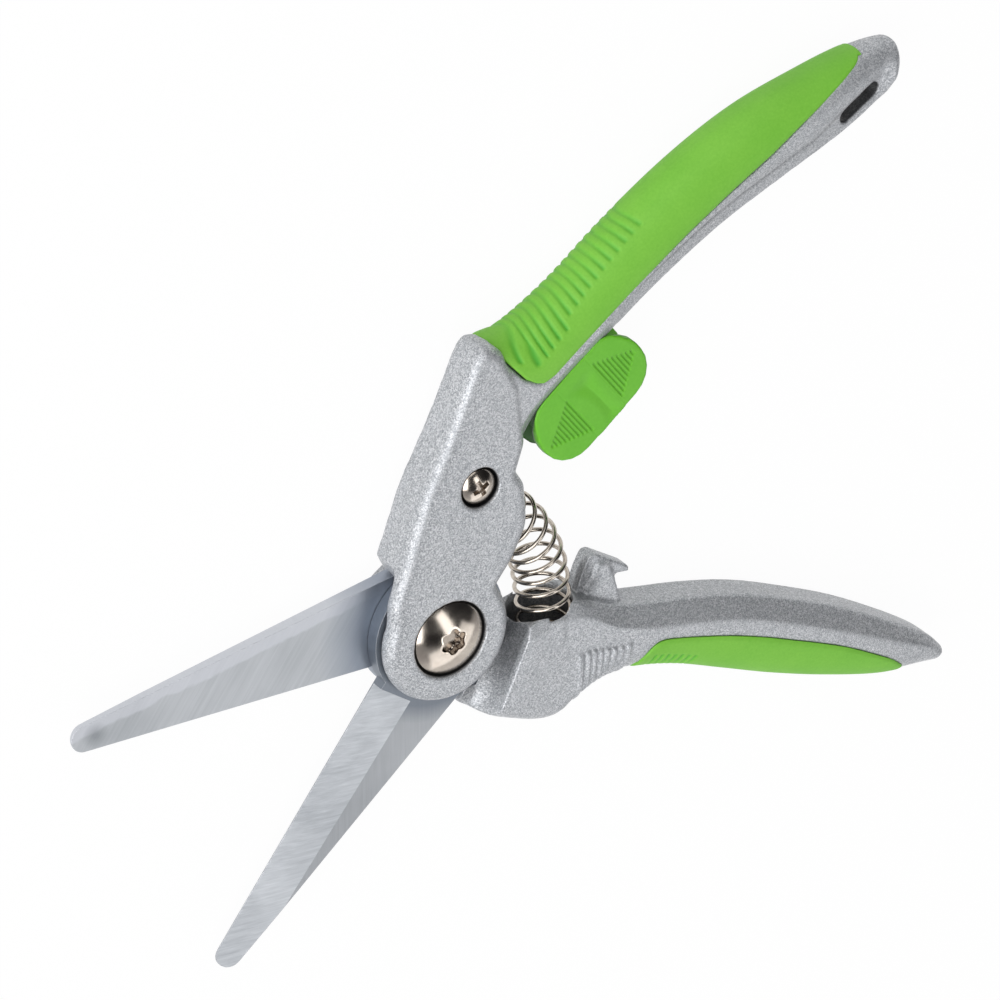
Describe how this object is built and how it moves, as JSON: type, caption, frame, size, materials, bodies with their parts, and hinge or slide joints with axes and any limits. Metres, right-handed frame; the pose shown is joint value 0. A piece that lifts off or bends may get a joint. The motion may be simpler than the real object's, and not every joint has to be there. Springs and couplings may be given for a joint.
{
  "type": "grass shears",
  "caption": "One-handed garden snips with crossed straight blades, a bent return spring between cast handles, rubber inlays and a thumb slider that locks them shut.",
  "frame": {"origin": "on the pivot axis at the back plane that the tool rests on", "axes": "+X from the pivot towards the handles, +Z out of the front face along the pivot axis"},
  "size_m": [0.188, 0.1348, 0.0139],
  "materials": {
    "cast_handle": "fine-flake silver paint on a casting",
    "grip_rubber": "matte green soft rubber",
    "slider_plastic": "matte green moulded plastic",
    "blade_steel": "ground stainless steel",
    "plated_steel": "bright nickel plate",
    "nylon": "natural nylon"
  },
  "bodies": {
    "upper": {"upper_handle": "cast_handle", "upper_grip": "grip_rubber", "upper_blade": "blade_steel", "upper_blade_screw": "plated_steel", "pivot_bolt": "plated_steel", "pivot_nut": "plated_steel", "nut_insert": "nylon", "pivot_washer": "plated_steel", "return_spring": "plated_steel"},
    "lower": {"lower_handle": "cast_handle", "lower_grip": "grip_rubber", "lower_blade": "blade_steel", "lower_blade_screw": "plated_steel"},
    "slider": {"lock_slider": "slider_plastic"}
  },
  "joints": [
    {"name": "blade_pivot", "type": "hinge", "parent": "upper", "child": "lower", "pos_m": [0, 0, 0.0065], "axis": [0, 0, 1], "range_deg": [0, 48], "stiffness_Nm_per_rad": 1, "springref_deg": -28.65, "deforming": ["return_spring"]},
    {"name": "lock_slide", "type": "slide", "parent": "upper", "child": "slider", "axis": [-0.9763, -0.2164, 0], "range_m": [0, 0.0032]}
  ]
}
